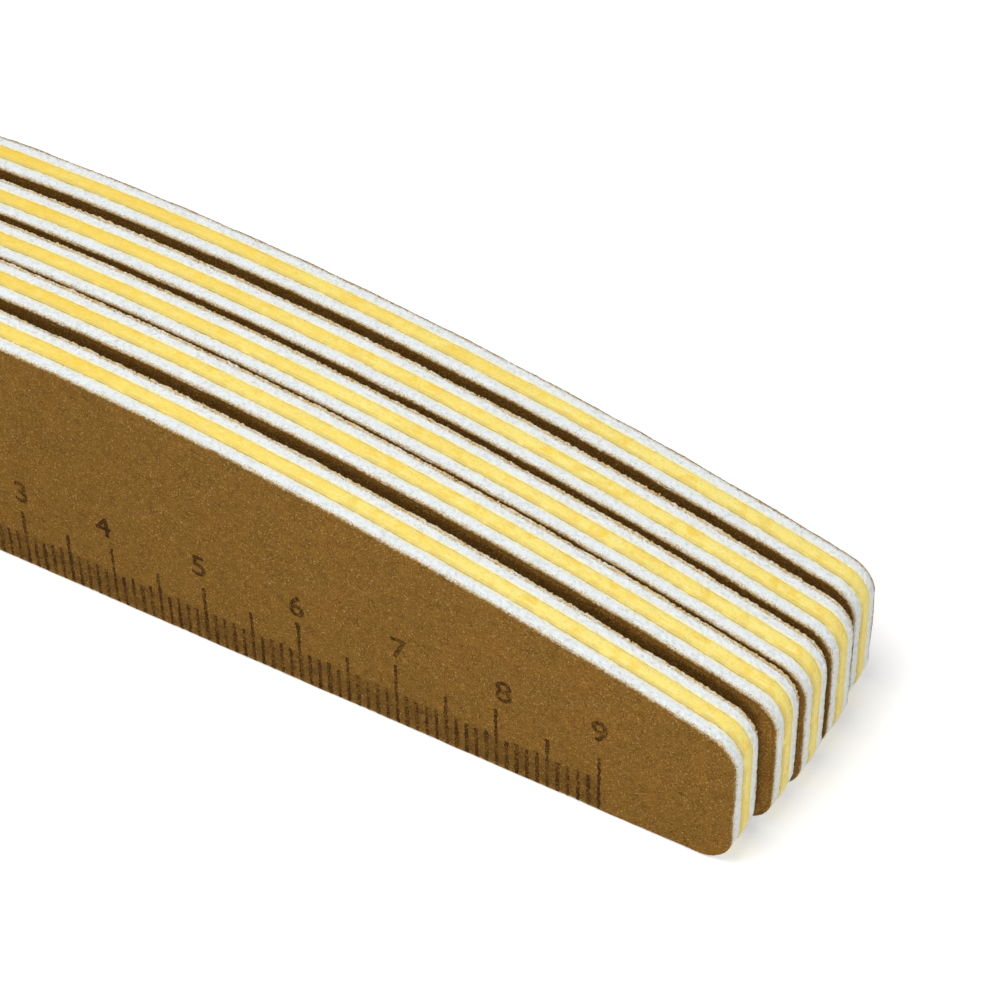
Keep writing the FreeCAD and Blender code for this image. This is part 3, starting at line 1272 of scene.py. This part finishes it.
class EmeryRulerPrint(bpy.types.Operator):
    """Prints the centimetre ruler on the front sheet"""

    bl_idname = "emery.ruler_print"
    bl_label = "Ruler print"

    def execute(self, context):
        ruler = context.scene.emery_ruler
        low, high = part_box(f"{RULER_BOARD}_core_board")
        zero = (low[0] + high[0]) / 2 + ruler.zero
        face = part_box(f"{RULER_BOARD}_front_abrasive_sheet")[0][1] + context.scene.emery_shape.grit_coat
        self.ticks(ruler, zero, face)
        self.digits(ruler, zero, face)
        return {"FINISHED"}

    def ticks(self, ruler, zero, face):
        blank = wire("blank", [Vector((0, 0, 0)), Vector((MM, 0, 0))])
        values = {
            "Count": CENTIMETRE_TICKS * ruler.centimetres + 1,
            "Pitch": MM,
            "Width": ruler.tick_width,
            "Ink": ruler.ink,
            "Long": ruler.long_tick - ruler.tick_rise,
            "Half": ruler.half_tick - ruler.tick_rise,
            "Short": ruler.short_tick - ruler.tick_rise,
            "Wobble Size": ruler.tick_wobble,
            "Start": (zero, face - ruler.ink / 2, ruler.tick_rise),
            "Material": finish_of("ink"),
        }
        piece = grown(blank, tree_of("Ruler ticks", tick_tree), values, f"{RULER_BOARD}_ruler_ticks")
        drop(blank)
        settle(piece, RULER_BOARD, "abrasive")

    def digits(self, ruler, zero, face):
        printed = bmesh.new()
        for digit in range(ruler.centimetres + 1):
            text = bpy.data.curves.new("digit", "FONT")
            text.body = str(digit)
            text.align_x = "CENTER"
            text.size = ruler.digit_height / DIGIT_SHARE
            text.extrude = ruler.ink / 2
            holder = bpy.data.objects.new("digit", text)
            bpy.context.collection.objects.link(holder)
            seen = holder.evaluated_get(bpy.context.evaluated_depsgraph_get())
            mesh = bpy.data.meshes.new_from_object(seen)
            make_heavier(mesh, ruler.digit_weight)
            along = digit * CENTIMETRE
            aside = DIGIT_DRIFT.get(digit, 0.0) * MM
            foot = ruler.digit_rise + along * ruler.digit_slope
            place = Vector((zero + along + aside, face - ruler.ink / 2, foot))
            mesh.transform(Matrix.Translation(place) @ Matrix.Rotation(math.pi / 2, 4, "X"))
            printed.from_mesh(mesh)
            drop(holder)
            bpy.data.meshes.remove(mesh)
        mesh = bpy.data.meshes.new(f"{RULER_BOARD}_ruler_digits")
        printed.to_mesh(mesh)
        printed.free()
        mesh.materials.append(finish_of("ink"))
        piece = bpy.data.objects.new(mesh.name, mesh)
        bpy.context.collection.objects.link(piece)
        settle(piece, RULER_BOARD, "abrasive")


class EmeryStageSetup(bpy.types.Operator):
    """Sets the floor, the lamps, the sky and the camera"""

    bl_idname = "emery.stage"
    bl_label = "Stage"

    def execute(self, context):
        stage = context.scene.emery_stage
        context.scene.view_settings.view_transform = "Standard"
        self.floor(stage)
        self.sky(context, stage)
        self.lamp("key", stage.key, stage.key_size, stage.key_place)
        self.lamp("fill", stage.fill, stage.fill_size, stage.fill_place)
        self.camera(context, stage)
        return {"FINISHED"}

    def floor(self, stage):
        half = stage.floor_size / 2
        mesh = bpy.data.meshes.new("floor")
        corners = [(-half, -half, 0), (half, -half, 0), (half, half, 0), (-half, half, 0)]
        mesh.from_pydata(corners, [], [(0, 1, 2, 3)])
        made = bpy.data.materials.new("pale_floor")
        made.use_nodes = True
        tree = made.node_tree
        tree.nodes.clear()
        matt = add_node(tree, "ShaderNodeBsdfDiffuse", Color=tuple(stage.floor))
        rays = tree.nodes.new("ShaderNodeLightPath")
        place = out(tree.nodes.new("ShaderNodeTexCoord"), "Object")
        away = out(add_node(tree, "ShaderNodeVectorMath", {"operation": "LENGTH"}, Vector=place), "Value")
        far = ramp(tree, away, FLOOR_NEAR, FLOOR_FAR)
        white = maths(tree, "MULTIPLY_ADD", far, stage.far_lift, stage.floor_lift)
        seen = maths(tree, "MULTIPLY", out(rays, "Is Camera Ray"), white)
        lift = add_node(tree, "ShaderNodeEmission", Strength=seen)
        both = add_node(tree, "ShaderNodeAddShader", Shader=[out(matt), out(lift)])
        add_node(tree, "ShaderNodeOutputMaterial", Surface=out(both))
        mesh.materials.append(made)
        piece = bpy.data.objects.new("floor", mesh)
        bpy.context.collection.objects.link(piece)

    def sky(self, context, stage):
        world = bpy.data.worlds.new("studio")
        context.scene.world = world
        world.use_nodes = True
        tree = world.node_tree
        rays = tree.nodes.new("ShaderNodeLightPath")
        strength = maths(tree, "MAXIMUM", out(rays, "Is Camera Ray"), stage.sky)
        tree.nodes["Background"].inputs["Color"].default_value = (1, 1, 1, 1)
        tree.links.new(strength, tree.nodes["Background"].inputs["Strength"])

    def lamp(self, name, power, size, place):
        lamp = bpy.data.lights.new(name, "AREA")
        lamp.shape = "DISK"
        lamp.size = size
        lamp.energy = power
        holder = bpy.data.objects.new(name, lamp)
        bpy.context.collection.objects.link(holder)
        place = Vector(place)
        holder.matrix_world = Matrix.Translation(place) @ place.to_track_quat("Z", "Y").to_matrix().to_4x4()

    def camera(self, context, stage):
        level = math.cos(stage.elevation)
        back = Vector((
            math.sin(stage.azimuth) * level, -math.cos(stage.azimuth) * level, math.sin(stage.elevation)
        ))
        right = Vector((math.cos(stage.azimuth), math.sin(stage.azimuth), 0))
        up = back.cross(right)
        rolled_right = right * math.cos(stage.roll) + up * math.sin(stage.roll)
        rolled_up = up * math.cos(stage.roll) - right * math.sin(stage.roll)
        lens = bpy.data.cameras.new("camera")
        lens.lens = stage.lens
        lens.clip_start = CLIP_START
        holder = bpy.data.objects.new("camera", lens)
        bpy.context.collection.objects.link(holder)
        pose = Matrix((rolled_right, rolled_up, back)).transposed().to_4x4()
        pose.translation = Vector(stage.aim) + back * stage.distance
        holder.matrix_world = pose
        context.scene.camera = holder


OPERATORS = (
    EmeryFoamPads,
    EmeryCores,
    EmeryGritSheets,
    EmeryCrumbs,
    EmeryGlueLines,
    EmeryRulerPrint,
    EmeryStageSetup,
)
SETTINGS = {
    "emery_shape": EmeryShape,
    "emery_ruler": EmeryRuler,
    "emery_finish": EmeryFinish,
    "emery_stage": EmeryStage,
}


class EmeryPanel(bpy.types.Panel):
    """Lists the steps that dress the row"""

    bl_idname = "EMERY_PT_row"
    bl_label = "Emery board row"
    bl_space_type = "VIEW_3D"
    bl_region_type = "UI"
    bl_category = "Emery"

    def draw(self, context):
        for step in OPERATORS:
            self.layout.operator(step.bl_idname)
        for name, group in SETTINGS.items():
            box = self.layout.box()
            for key in group.__annotations__:
                box.prop(getattr(context.scene, name), key)


def register():
    for group in (*SETTINGS.values(), *OPERATORS, EmeryPanel):
        bpy.utils.register_class(group)
    for name, group in SETTINGS.items():
        setattr(bpy.types.Scene, name, PointerProperty(type=group))


def unregister():
    for name in SETTINGS:
        delattr(bpy.types.Scene, name)
    for group in reversed((*SETTINGS.values(), *OPERATORS, EmeryPanel)):
        bpy.utils.unregister_class(group)


def main():
    register()
    bpy.ops.emery.foam_pads()
    bpy.ops.emery.cores()
    bpy.ops.emery.grit_sheets()
    bpy.ops.emery.crumbs()
    bpy.ops.emery.glue_lines()
    bpy.ops.emery.ruler_print()
    bpy.ops.emery.stage()


if __name__ == "__main__":
    main()
